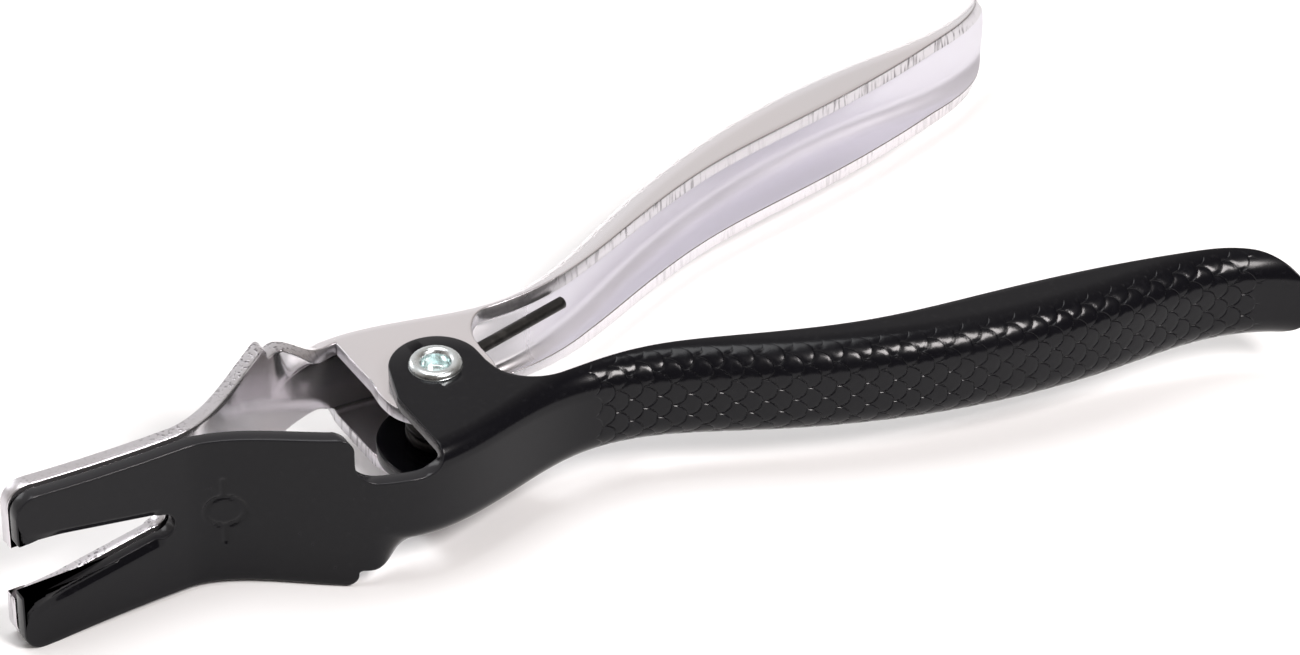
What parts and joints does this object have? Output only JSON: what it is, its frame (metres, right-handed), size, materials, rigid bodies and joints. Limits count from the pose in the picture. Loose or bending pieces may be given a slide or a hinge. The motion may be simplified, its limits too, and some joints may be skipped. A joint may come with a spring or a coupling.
{
  "type": "hose separating pliers",
  "caption": "Pressed-steel pliers with forked jaws that spread when the trough-shaped handles are squeezed, riveted and sprung closed, one lever black and one plated",
  "frame": {"origin": "centre of the flat outer face of the rivet's factory head, on the pivot axis", "axes": "+X from the pivot towards the handles, so the forked jaws point to -X; +Z along the pivot axis from the factory head to the rolled-over end; the black lever lies on the -Y side and the plated lever on the +Y side"},
  "size_m": [0.224, 0.108, 0.0316],
  "materials": {
    "black_coat": "semi-gloss black coat, with a pressed scale pattern on the grip",
    "bright_plating": "bright plated steel with sheared edges",
    "zinc_rivet": "zinc plated, slightly blue in the hollow",
    "spring_wire": "satin blackened spring steel"
  },
  "bodies": {
    "black_side": {"black_lever": "black_coat", "pivot_rivet": "zinc_rivet", "torsion_spring": "spring_wire"},
    "plated_side": {"plated_lever": "bright_plating"}
  },
  "joints": [
    {"name": "pivot", "type": "hinge", "parent": "black_side", "child": "plated_side", "pos_m": [0, 0, 0], "axis": [0, 0, -1], "range_deg": [0, 28], "stiffness_Nm_per_rad": 2, "springref_deg": -20.05, "deforming": ["torsion_spring"]}
  ]
}
